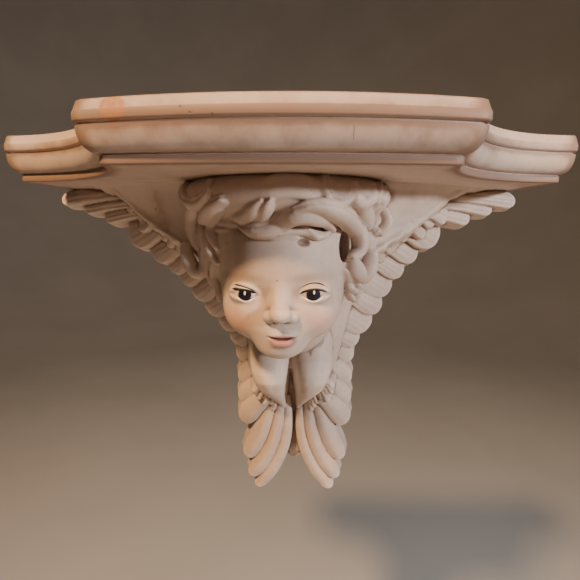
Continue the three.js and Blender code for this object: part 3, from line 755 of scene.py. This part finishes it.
# Hollows between the locks: the one beside the right temple and the small one on the forehead
HOLLOWS = [
    ((0.355, -0.235, 0.14), (0.034, 0.065, 0.09)),
    ((0.13, -0.412, 0.162), (0.038, 0.032, 0.023)),
]


def within(values, low_end, high_end):
    """The slice of rising values that lie between two ends."""
    return slice(np.searchsorted(values, low_end), np.searchsorted(values, high_end))


def end_swell(run, share):
    """Rises from a share at the end of a lock to 1 over the first third of its length."""
    return share + (1 - share) * np.sin(np.clip(run / 0.35, 0, 1) * math.pi / 2)


def lay_lock(field, points, width, thick, lift, strands=1, ends=(0.25, 0.25)):
    """Adds a lock of hair, drawn as seen from the front, to the head's field. It is a flat band
    that tapers to its ends, with a groove between each two strands."""
    laid = [(x, -(hair_depth(x, z) + lift), z) for x, z in points]
    length = sum(math.dist(a, b) for a, b in zip(laid, laid[1:]))
    piece_length, margin = 0.022, 0.035
    count = max(6, int(length / piece_length))
    line = spline(laid, count + 1)
    reach = max(width, thick) + margin
    box = tuple(
        within(values, line[:, axis].min() - reach, line[:, axis].max() + reach)
        for axis, values in enumerate(head_axes)
    )
    xs, ys, zs = (values[part] for values, part in zip(head_axes, box))
    nearest = np.full((len(xs), len(ys), len(zs)), 1e3, np.float32)
    run, across, outward = (np.zeros_like(nearest) for _ in range(3))
    for i in range(count):
        start, end = line[i], line[i + 1]
        part = tuple(
            within(values, min(a, b) - reach, max(a, b) + reach)
            for values, a, b in zip((xs, ys, zs), start, end)
        )
        offsets = (
            xs[part[0]][:, None, None] - start[0],
            ys[part[1]][None, :, None] - start[1],
            zs[part[2]][None, None, :] - start[2],
        )
        span = end - start
        long = float(np.linalg.norm(span))
        tangent = span / long
        middle = (start + end) / 2
        normal = np.array([middle[0], middle[1] - 0.1, middle[2] * 0.6])
        normal = normal - tangent * (normal @ tangent)
        normal = normal / np.linalg.norm(normal)
        binormal = np.cross(tangent, normal)
        t, u, v = (
            offsets[0] * way[0] + offsets[1] * way[1] + offsets[2] * way[2]
            for way in (tangent, binormal, normal)
        )
        clamped = np.clip(t, 0, long)
        away = u * u + v * v + (t - clamped) ** 2
        closer = away < nearest[part]
        here = (away, (i + clamped / long) / count, u, v)
        for values, new in zip((nearest, run, across, outward), here):
            values[part] = np.where(closer, new, values[part])
    swell = np.minimum(1, np.minimum(end_swell(run, ends[0]), end_swell(1 - run, ends[1])))
    beyond_end = np.sqrt(np.maximum(nearest - across ** 2 - outward ** 2, 0))
    half_width = width * swell
    half_thick = thick * np.sqrt(swell)
    u = across / half_width
    v = outward / half_thick
    w = beyond_end / half_width
    k0 = np.sqrt(u * u + v * v + w * w)
    k1 = np.sqrt((u / half_width) ** 2 + (v / half_thick) ** 2 + (w / half_width) ** 2)
    lock = k0 * (k0 - 1) / np.maximum(k1, 1e-6)
    if strands > 1:
        ribs = np.abs(np.sin(math.pi * (0.5 * strands * np.clip(u, -1, 1) + 0.5 * (strands % 2))))
        groove = 0.009 * np.minimum(1, half_width / 0.03)
        lock = lock + groove * (1 - ribs ** 0.7)
    blend = 0.012
    field[box] = smooth_min(field[box], lock, blend)


def make_head():
    field = face_field()
    cap = ellipsoid(HX, HY, HZ, CAP_CENTRE, CAP_RADII)
    crown = ellipsoid(HX, HY, HZ, CROWN_CENTRE, CROWN_RADII)
    field = smooth_min(field, smooth_min(cap, crown, 0.05), 0.015)
    neck = ellipsoid(HX, HY, HZ, (0.03, 0.1, -0.3), (0.3, 0.32, 0.3))
    field = smooth_min(field, neck, 0.03).astype(np.float32)
    for spec in LOCKS.values():
        lay_lock(field, *spec)
    for centre, radii in HOLLOWS:
        field = smooth_max(field, -ellipsoid(HX, HY, HZ, centre, radii), 0.008)
    random = np.random.default_rng(SEED + 1)
    waves = smooth_noise(random, field.shape, 9 / HEAD_VOXEL).astype(np.float32)
    field = field * HEAD_HEIGHT + 0.12 * waves
    for values, low_end, high_end in zip((HX, HY, HZ), HEAD_LOW, HEAD_HIGH):
        for from_edge in (values - low_end, high_end - values):
            field = np.maximum(field, (2 * HEAD_STEP - from_edge) * HEAD_HEIGHT)
    corner = [c + a[0] * HEAD_HEIGHT for c, a in zip(HEAD_CENTRE, head_axes)]
    return field_object("head", np.clip(field, -FIELD_REACH, FIELD_REACH), corner, HEAD_VOXEL)


def wall_block():
    """A block that fills the wall, to cut the casting's back flat."""
    size = Vector((SHELF_WIDTH, 100, SHELF_RISE - BOTTOM)) * 2
    corners = [(x, y, z) for x in (-0.5, 0.5) for y in (0, 1) for z in (-0.5, 0.5)]
    points = [(x * size.x, y * size.y, z * size.z + (SHELF_RISE + BOTTOM) / 2) for x, y, z in corners]
    faces = [(0, 1, 3, 2), (4, 6, 7, 5), (0, 4, 5, 1), (2, 3, 7, 6), (0, 2, 6, 4), (1, 5, 7, 3)]
    return mesh_object("wall", points, faces)


def make_casting():
    wings = thinned(make_wings(), WING_TRIANGLES)
    head = thinned(make_head(), HEAD_TRIANGLES)
    casting = combined(wings, head, "UNION")
    casting = combined(casting, make_board(), "UNION")
    casting = combined(casting, wall_block(), "DIFFERENCE")
    casting.name = "cherub_casting"
    casting.data.shade_smooth()
    casting.data.set_sharp_from_angle(angle=math.radians(50))
    return casting


# Nothing nearer to the wall than this carries the wash and painted shade of the recesses, or the worn
# edges with their painted highlight
BACK_SKIN = 1.0


def add_relief(piece):
    """Stores how far each point stands out of the smoothed surface, in millimetres: ridges are
    above zero and recesses below."""
    mesh = piece.data
    count = len(mesh.vertices)
    points = np.empty(count * 3, np.float32)
    mesh.vertices.foreach_get("co", points)
    points = points.reshape(-1, 3).astype(float) / MM
    edges = np.empty(len(mesh.edges) * 2, np.int32)
    mesh.edges.foreach_get("vertices", edges)
    a, b = edges.reshape(-1, 2).T
    near = 4.0
    weight = 1 / (1 + (np.linalg.norm(points[a] - points[b], axis=1) / near) ** 2)
    total = np.bincount(a, weight, count) + np.bincount(b, weight, count) + 1e-9

    def mean_around(values):
        sums = np.bincount(a, weight * values[b], count) + np.bincount(b, weight * values[a], count)
        return sums / total

    normals = np.empty(count * 3, np.float32)
    mesh.vertices.foreach_get("normal", normals)
    normals = normals.reshape(-1, 3)
    smoothed = points
    rounds = 14
    for _ in range(rounds):
        moved = np.column_stack([mean_around(smoothed[:, axis]) for axis in range(3)])
        smoothed = 0.4 * smoothed + 0.6 * moved
    relief = np.sum((points - smoothed) * normals, axis=1)
    for _ in range(2):
        relief = 0.5 * relief + 0.5 * mean_around(relief)
    relief[points[:, 1] > -BACK_SKIN] = 0
    stored = mesh.attributes.new("relief", "FLOAT", "POINT")
    stored.data.foreach_set("value", relief.astype(np.float32))


casting = make_casting()
add_relief(casting)


class Paint:
    """Builds a material's node tree, and keeps the colour painted so far."""

    def __init__(self, name):
        self.material = bpy.data.materials.new(name)
        self.material.use_nodes = True
        self.tree = self.material.node_tree
        self.shader = self.tree.nodes["Principled BSDF"]
        self.place = self.node("TexCoord", {}, "Object")
        split = self.tree.nodes.new("ShaderNodeSeparateXYZ")
        self.tree.links.new(self.place, split.inputs[0])
        self.x, self.y, self.z = (self.maths("DIVIDE", axis, MM) for axis in split.outputs)
        self.colour = None

    def put(self, socket, value):
        if isinstance(value, bpy.types.NodeSocket):
            self.tree.links.new(value, socket)
        elif isinstance(value, tuple) and len(value) == 3 and socket.type == "RGBA":
            socket.default_value = (*value, 1)
        else:
            socket.default_value = value

    def node(self, kind, inputs, output=0, **settings):
        """Adds a node with these settings and inputs, and gives back one of its outputs."""
        made = self.tree.nodes.new("ShaderNode" + kind)
        for name, value in settings.items():
            setattr(made, name, value)
        for name, value in inputs.items():
            self.put(made.inputs[name], value)
        return made.outputs[output]

    def maths(self, operation, *values):
        return self.node("Math", dict(enumerate(values)), operation=operation)

    def step(self, value, start, end):
        """Goes smoothly from 0 to 1 as value goes from start to end, which may be the lower one."""
        falls = start > end
        inputs = {
            "Value": value, "From Min": min(start, end), "From Max": max(start, end),
            "To Min": int(falls), "To Max": int(not falls),
        }
        return self.node("MapRange", inputs, "Result", interpolation_type="SMOOTHSTEP")

    def noise(self, per_metre, detail, roughness=0.55, stretch=None):
        place = self.place
        if stretch:
            place = self.node("Mapping", {"Vector": place, "Scale": stretch}, "Vector")
        inputs = {"Vector": place, "Scale": per_metre, "Detail": detail, "Roughness": roughness}
        return self.node("TexNoise", inputs, "Fac")

    def blend(self, share, colour, other):
        return self.node("Mix", {"Factor": share, "A": colour, "B": other}, "Result", data_type="RGBA")

    def coat(self, shade, *shares):
        """Puts a shade over the colour so far, as much as the product of the shares says."""
        self.colour = self.blend(self.times(*shares), self.colour, shade)

    def times(self, *values):
        product = values[0]
        for value in values[1:]:
            product = self.maths("MULTIPLY", product, value)
        return product

    def broken(self, value, noise, share):
        """The value, moved up and down by a share of a noise."""
        return self.maths("ADD", value, self.times(self.maths("SUBTRACT", noise, 0.5), share))

    def spot(self, centre, radii, soft=0.3):
        """1 inside an ellipse seen from the front, falling to 0 over a soft edge."""
        across = self.maths("DIVIDE", self.maths("SUBTRACT", self.x, centre[0]), radii[0])
        up = self.maths("DIVIDE", self.maths("SUBTRACT", self.z, centre[1]), radii[1])
        away = self.maths("SQRT", self.maths("ADD", self.times(across, across), self.times(up, up)))
        return self.step(away, 1 + soft, 1 - soft)

    def above(self, top, slope, curve, middle):
        """How far above a parabola a place is, seen from the front."""
        across = self.maths("SUBTRACT", self.x, middle)
        bent = self.maths("MULTIPLY_ADD", across, curve, slope)
        line = self.maths("MULTIPLY_ADD", bent, across, top)
        return self.maths("SUBTRACT", self.z, line)

    def stroke(self, above, half, start, end):
        """1 along a brushed line that thins out towards both ends."""
        taper = 3.0
        near_start = self.step(self.x, start, start + taper)
        near_end = self.step(self.x, end, end - taper)
        width = self.maths("MULTIPLY_ADD", self.times(near_start, near_end), half, 0.06)
        share = self.maths("DIVIDE", self.maths("ABSOLUTE", above), width)
        after_start = self.step(self.x, start - 0.4, start + 0.4)
        before_end = self.step(self.x, end + 0.4, end - 0.4)
        return self.times(self.step(share, 1.3, 0.7), self.times(after_start, before_end))

    def bump(self, height, strength, distance, under=None):
        inputs = {"Height": height, "Strength": strength, "Distance": distance}
        if under is not None:
            inputs["Normal"] = under
        return self.node("Bump", inputs, "Normal")


# The painted eyes in millimetres, seen from the front. The two were painted by hand and differ. A
# line is (height at its middle, slope, curve, middle, half its width, start, end).
EYES = [
    {
        "iris": (-22.2, -38.7), "radii": (3.9, 3.9), "glint": (-22.1, -37.7), "pupil": (-22.3, -38.3),
        "upper": (-35.9, -0.135, -0.012, -23), "lower": (-41.9, 0.0, 0.105, -21.8),
        "lash": (0.85, -30.4, -14.6), "under": (0.42, -27.6, -17.6),
        "crease": (-33.7, -0.19, -0.02, -24, 0.36, -29.6, -15.2),
        "white": (-42.8, 0.0, 0.1, -21.5, 0.5, -28.6, -16.4),
        "colour": (0.007, 0.008, 0.02),
    },
    {
        "iris": (17.4, -38.4), "radii": (4.2, 3.9), "glint": (17.8, -36.9), "pupil": (16.6, -37.8),
        "upper": (-35.2, 0.0, -0.035, 18.5), "lower": (-41.5, 0.0, 0.11, 17),
        "lash": (0.7, 8.6, 26), "under": (0.42, 12.6, 23.2),
        "crease": (-31.8, 0.0, -0.045, 18, 0.3, 9.8, 25),
        "white": (-42.4, 0.0, 0.085, 17.3, 0.45, 11, 24),
        "colour": (0.009, 0.012, 0.042),
    },
]


def paint_eyes(paint, front):
    """Paints the eyes and gives back a mask of their glossy whites."""
    black = (0.008, 0.007, 0.008)
    cream = (0.62, 0.53, 0.44)
    white = (0.86, 0.8, 0.72)
    gloss = 0.0
    for eye in EYES:
        from_upper = paint.above(*eye["upper"])
        from_lower = paint.above(*eye["lower"])
        below_upper = paint.step(from_upper, 0.3, -0.3)
        above_lower = paint.step(from_lower, -0.3, 0.3)
        opening = paint.times(below_upper, above_lower, front)
        paint.coat(cream, opening)
        iris = paint.times(paint.spot(eye["iris"], eye["radii"], 0.09), opening)
        paint.coat(eye["colour"], iris)
        paint.coat(black, paint.spot(eye["pupil"], (2.2, 2.4), 0.25), iris)
        lines = [(from_upper, eye["lash"], black), (from_lower, eye["under"], black)]
        for kind, shade in (("crease", black), ("white", white)):
            lines.append((paint.above(*eye[kind][:4]), eye[kind][4:], shade))
        for above, line, shade in lines:
            paint.coat(shade, paint.stroke(above, *line), front)
        paint.coat((0.95, 0.95, 0.95), paint.spot(eye["glint"], (0.55, 1.1)), front)
        gloss = paint.maths("ADD", gloss, opening)
    return gloss


def paint_face(paint, front):
    """Blush, lips and brows."""
    for centre, radii, blush in (
        ((-28, -56), (9.5, 7.5), (0.72, 0.3, 0.15)),
        ((25.5, -55), (10, 8), (0.74, 0.38, 0.28)),
    ):
        paint.coat(blush, paint.spot(centre, radii, 0.8), front, 0.42)
    mouth_front = paint.step(paint.y, -88, -92)
    paint.coat((0.33, 0.13, 0.11), paint.spot((-0.2, -66), (8.2, 4.2), 0.25), mouth_front, 0.8)
    lip_line = paint.stroke(paint.above(-64.9, 0.0, 0.03, 0.6), 0.5, -8, 9.2)
    paint.coat((0.16, 0.06, 0.045), lip_line, mouth_front, 0.75)
    for centre, radii in (((-25.3, -29), (10.5, 2.6)), ((17.5, -28.6), (11.5, 2.6))):
        paint.coat((0.3, 0.18, 0.11), paint.spot(centre, radii, 0.75), front, 0.4)


def paint_board(paint, mottled, front):
    """Painted shade along the two quirks, and the brown stain of a label on the fascia."""
    fascia_quirk = SHELF_RISE - FASCIA_SHARE * BOARD_THICKNESS - 0.4
    ovolo_quirk = SHELF_RISE - OVOLO_SHARE * BOARD_THICKNESS - 0.5
    # The dark bands at the two quirks' levels are painted shade.
    for level in (fascia_quirk, ovolo_quirk):
        away = paint.maths("ABSOLUTE", paint.maths("SUBTRACT", paint.z, level))
        painted_shade_strength = paint.maths("MULTIPLY_ADD", mottled, 0.5, 0.3)
        paint.coat((0.22, 0.13, 0.09), paint.step(away, 1.8, 0.2), painted_shade_strength)
    stain = paint.times(paint.spot((-72.2, 51.2), (6.4, 5.4), 0.12), front)
    patchy = paint.maths("MULTIPLY_ADD", paint.step(paint.noise(420, 4, 0.7), 0.36, 0.62), 0.35, 0.6)
    paint.coat((0.36, 0.16, 0.07), stain, patchy)


def chipped(paint, fascia_front, face_front):
    """1 on the small chips of the fascia and on one between the brows."""
    chips = paint.spot((-41.2, 49.9), (0.6, 0.5))
    others = (((-37, 47.5), (0.5, 0.4)), ((-27.5, 46.9), (0.45, 0.4)), ((32.2, 40), (0.2, 2.6)))
    for centre, radii in others:
        chips = paint.maths("MAXIMUM", chips, paint.spot(centre, radii))
    on_face = paint.times(paint.spot((-3.3, -30.3), (0.5, 0.6)), face_front)
    return paint.maths("MAXIMUM", paint.times(chips, fascia_front), on_face)


def plaster_paint():
    paint = Paint("plaster_paint")
    relief = paint.node("Attribute", {}, "Fac", attribute_name="relief")
    cloudy = paint.noise(22, 3)
    mottled = paint.noise(90, 5, 0.6)
    grain = paint.noise(900, 4, 0.7)
    brushed = paint.noise(260, 5, 0.65, (1.0, 1.0, 0.16))
    face_front = paint.step(paint.y, -72, -76)
    fascia_front = paint.step(paint.y, -140, -145)

    # Two tones of stone, darker and lighter patches, a brown wash in the recesses that is partly
    # painted shade, and worn edges with a painted highlight
    paint.colour = paint.blend(paint.step(cloudy, 0.32, 0.68), (0.5, 0.39, 0.325), (0.6, 0.475, 0.395))
    paint.coat((0.44, 0.34, 0.29), paint.step(mottled, 0.42, 0.75), 0.4)
    paint.coat((0.68, 0.56, 0.48), paint.step(brushed, 0.5, 0.78), 0.22)
    # The brown in the recesses is partly the paint's antique wash and partly painted shade.
    wash_and_painted_shade = paint.step(paint.broken(relief, mottled, 0.5), -0.05, -0.55)
    paint.coat((0.2, 0.115, 0.075), wash_and_painted_shade, 0.85)
    # The lighter raised edges are partly worn paint and partly a painted highlight.
    edge = paint.step(paint.broken(relief, grain, 0.6), 0.2, 0.75)
    paint.coat((0.78, 0.66, 0.55), edge, 0.65)

    paint_face(paint, face_front)
    gloss = paint_eyes(paint, face_front)
    paint_board(paint, mottled, fascia_front)
    chips = chipped(paint, fascia_front, face_front)
    paint.coat((0.16, 0.09, 0.06), chips, 0.55)
    paint.coat((0.2, 0.12, 0.09), paint.step(paint.noise(330, 2, 0.5), 0.735, 0.76), 0.6)
    paint.put(paint.shader.inputs["Base Color"], paint.colour)

    rough = paint.maths("MULTIPLY_ADD", mottled, 0.3, 0.45)
    rough = paint.maths("MULTIPLY_ADD", edge, -0.08, rough)
    rough = paint.maths("MULTIPLY_ADD", gloss, -0.3, rough)
    paint.put(paint.shader.inputs["Roughness"], rough)

    normal = paint.bump(mottled, 0.35, 0.0006)
    normal = paint.bump(grain, 0.3, 0.0002, normal)
    normal = paint.bump(paint.maths("SUBTRACT", 1, chips), 0.8, 0.0004, normal)
    paint.put(paint.shader.inputs["Normal"], normal)
    return paint.material


casting.data.materials.clear()
casting.data.materials.append(plaster_paint())
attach(casting, "root")
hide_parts(NODE)


# The studio

def add_lamp(name, azimuth, elevation, distance, size, power, colour):
    """A round lamp that looks at the figure. Azimuth 0 is straight in front, positive to the right."""
    data = bpy.data.lights.new(name, "AREA")
    data.shape = "DISK"
    data.size = size
    data.energy = power
    data.color = colour
    lamp = new_object(name, data)
    target = Vector((0, -0.08, -0.02))
    turn, rise = math.radians(azimuth), math.radians(elevation)
    level = math.cos(rise)
    towards = Vector((math.sin(turn) * level, -math.cos(turn) * level, math.sin(rise)))
    lamp.location = target + towards * distance
    lamp.rotation_euler = (-towards).to_track_quat("-Z", "Y").to_euler()


add_lamp("key", 57, 12, 1.3, 0.12, 18, (0.98, 0.95, 0.96))
add_lamp("warm", -26, 45, 1.3, 0.14, 35, (1.0, 0.61, 0.3))
add_lamp("overhead", 0, 88, 2.4, 0.5, 11, (1.0, 0.84, 0.68))

world = bpy.data.worlds.new("studio")
bpy.context.scene.world = world
world.use_nodes = True
background = world.node_tree.nodes["Background"]
background.inputs["Color"].default_value = (1.0, 0.78, 0.6, 1)
background.inputs["Strength"].default_value = 0.04


def studio_bowl():
    """A round floor whose rim curves up all round, so that no horizon shows from above the floor."""
    floor_level = -0.9
    floor_radius = 3.0
    rim_radius = 2.5
    segments = 64
    profile = [(radius, floor_level) for radius in (0.5, 1.2, 2.0, floor_radius)]
    for angle in np.linspace(0, math.pi / 2, 13)[1:]:
        profile.append((
            floor_radius + rim_radius * math.sin(angle),
            floor_level + rim_radius * (1 - math.cos(angle)),
        ))
    profile.append((floor_radius + rim_radius, 4.0))
    points = [(0, 0, floor_level)]
    for radius, level in profile:
        for i in range(segments):
            angle = 2 * math.pi * i / segments
            points.append((radius * math.cos(angle), radius * math.sin(angle), level))
    faces = [(0, 1 + i, 1 + (i + 1) % segments) for i in range(segments)]
    faces += ring_faces(segments, len(profile), 1)
    bowl = mesh_object("floor", np.array(points) / MM, faces)
    bowl.data.shade_smooth()
    return bowl


def floor_paint():
    paint = Paint("floor_paint")
    shade = paint.step(paint.noise(1.5, 3), 0.3, 0.7)
    colour = paint.blend(shade, (0.6, 0.59, 0.575), (0.66, 0.65, 0.635))
    paint.put(paint.shader.inputs["Base Color"], colour)
    paint.shader.inputs["Roughness"].default_value = 0.85
    return paint.material


floor = studio_bowl()
floor.data.materials.append(floor_paint())
